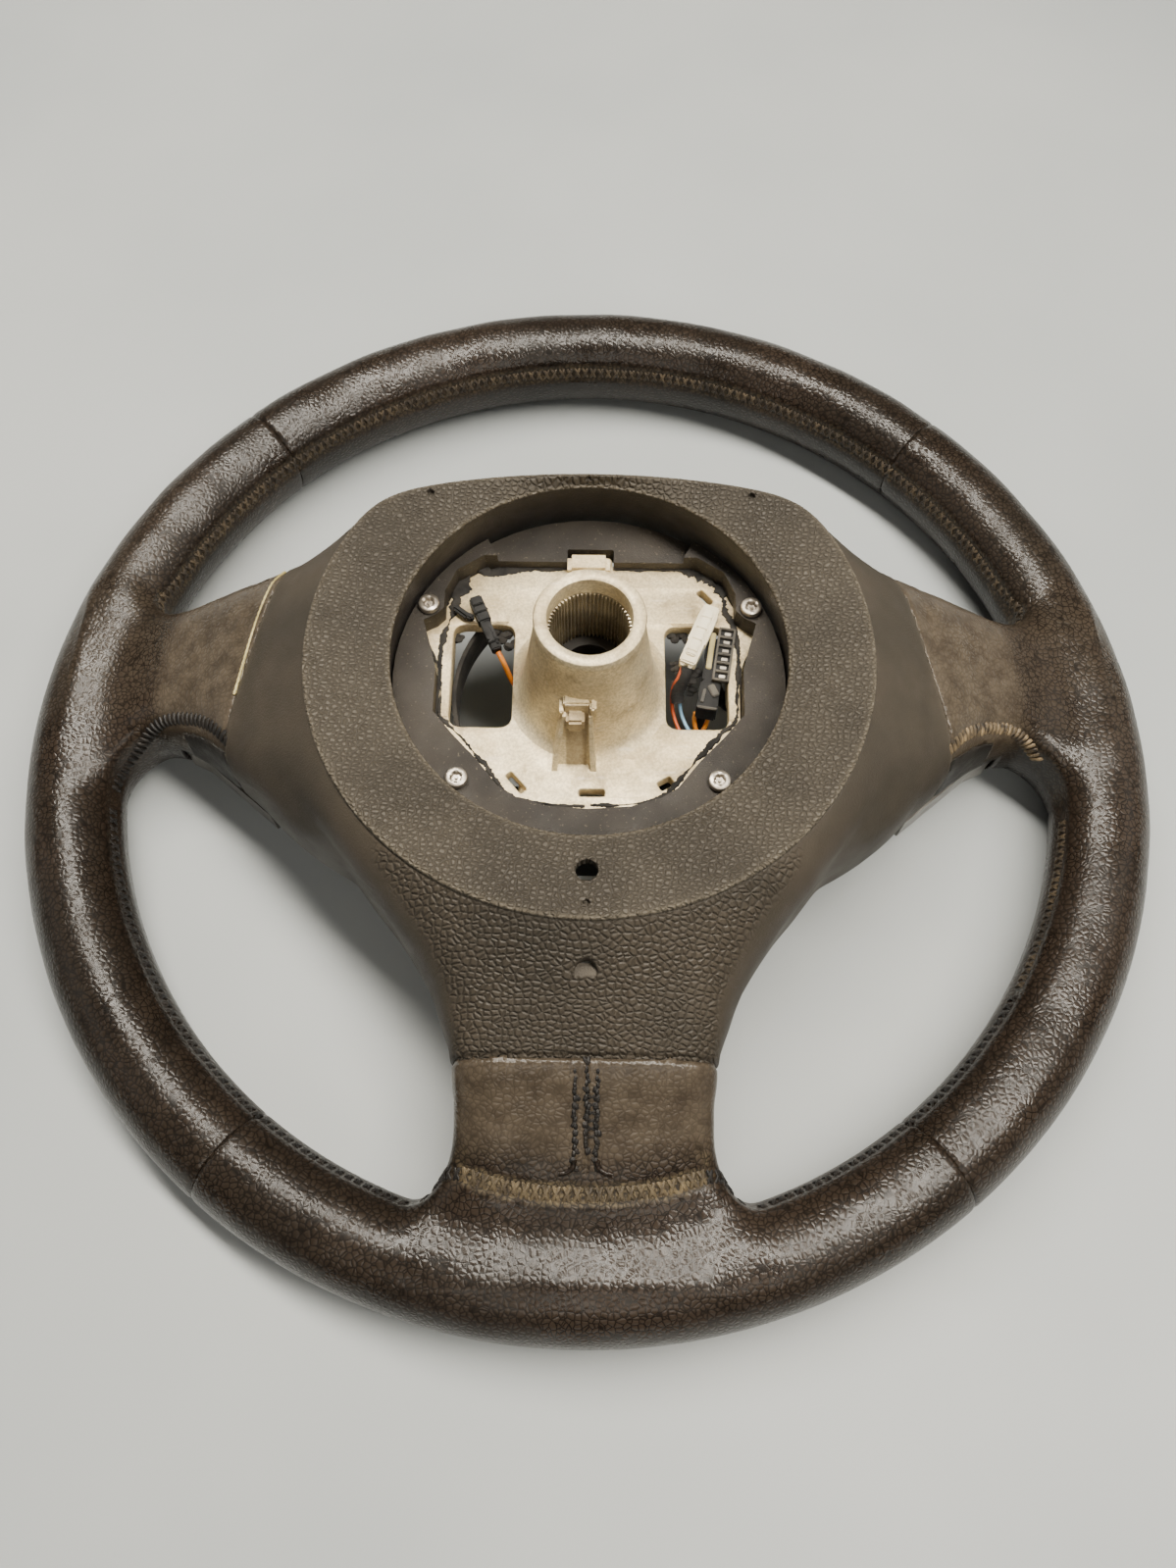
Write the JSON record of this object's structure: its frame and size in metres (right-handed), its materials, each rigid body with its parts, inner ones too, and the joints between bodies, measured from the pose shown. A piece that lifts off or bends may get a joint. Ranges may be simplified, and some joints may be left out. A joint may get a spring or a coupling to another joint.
{
  "type": "steering wheel",
  "caption": "Leather-covered road-car steering wheel seen from its column side: cast armature with splined hub, moulded rear cover, switch pods and an empty airbag well.",
  "frame": {"origin": "centre of the footprint, on the plane the front face of the rim lies on", "axes": "+Z from the driver towards the column, along the hub; +Y towards twelve o'clock; +X to the right as seen from the column side"},
  "size_m": [0.3848, 0.3842, 0.1003],
  "materials": {
    "leather": "worn semi-gloss, pebbled",
    "foam": "matte moulded foam",
    "casting": "as cast, dull",
    "cover_plastic": "grained",
    "skin_plastic": "fine grained",
    "screw_steel": "zinc plated, dull",
    "black_plastic": "smooth",
    "ivory_plastic": "smooth",
    "orange_wire": "insulation",
    "blue_wire": "insulation",
    "red_wire": "insulation",
    "sleeve": "woven tape over wires",
    "silver_trim": "satin silver paint",
    "button_plastic": "fine grained",
    "board_green": "circuit board",
    "spring_steel": "plain wire"
  },
  "bodies": {
    "wheel": {"armature_casting": "casting", "rim_foam": "foam", "leather_top": "leather", "leather_right": "leather", "leather_left": "leather", "leather_bottom": "leather", "rear_cover": "cover_plastic", "well_floor_skin": "skin_plastic", "cover_screw_1": "screw_steel", "cover_screw_2": "screw_steel", "cover_screw_3": "screw_steel", "cover_screw_4": "screw_steel", "small_connector": "black_plastic", "ivory_connector": "ivory_plastic", "multi_pin_connector": "black_plastic", "small_connector_lead": "orange_wire", "blue_lead": "blue_wire", "red_lead": "red_wire", "jumper_lead": "orange_wire", "harness_right": "sleeve", "harness_left": "sleeve", "airbag_retaining_spring": "spring_steel", "right_switch_housing": "black_plastic", "right_switch_board": "board_green", "right_switch_screw": "screw_steel", "right_spoke_trim": "silver_trim", "left_switch_housing": "black_plastic", "left_switch_board": "board_green", "left_switch_screw": "screw_steel", "left_spoke_trim": "silver_trim"},
    "right_rocker_body": {"right_rocker": "button_plastic"},
    "right_upper_button_body": {"right_upper_button": "button_plastic"},
    "right_lower_button_body": {"right_lower_button": "button_plastic"},
    "left_rocker_body": {"left_rocker": "button_plastic"},
    "left_upper_button_body": {"left_upper_button": "button_plastic"},
    "left_lower_button_body": {"left_lower_button": "button_plastic"}
  },
  "joints": [
    {"name": "right_rocker_tilt", "type": "hinge", "parent": "wheel", "child": "right_rocker_body", "pos_m": [0.116, 0.015, 0.0134], "axis": [1, 0, 0], "range_deg": [-4, 4], "stiffness_Nm_per_rad": 0.05},
    {"name": "right_upper_button_press", "type": "slide", "parent": "wheel", "child": "right_upper_button_body", "axis": [0, 0, 1], "range_m": [0, 0.0012], "stiffness_N_per_m": 200, "springref_m": -0.002},
    {"name": "right_lower_button_press", "type": "slide", "parent": "wheel", "child": "right_lower_button_body", "axis": [0, 0, 1], "range_m": [0, 0.0012], "stiffness_N_per_m": 200, "springref_m": -0.002},
    {"name": "left_rocker_tilt", "type": "hinge", "parent": "wheel", "child": "left_rocker_body", "pos_m": [-0.116, 0.015, 0.0134], "axis": [1, 0, 0], "range_deg": [-4, 4], "stiffness_Nm_per_rad": 0.05},
    {"name": "left_upper_button_press", "type": "slide", "parent": "wheel", "child": "left_upper_button_body", "axis": [0, 0, 1], "range_m": [0, 0.0012], "stiffness_N_per_m": 200, "springref_m": -0.002},
    {"name": "left_lower_button_press", "type": "slide", "parent": "wheel", "child": "left_lower_button_body", "axis": [0, 0, 1], "range_m": [0, 0.0012], "stiffness_N_per_m": 200, "springref_m": -0.002}
  ]
}
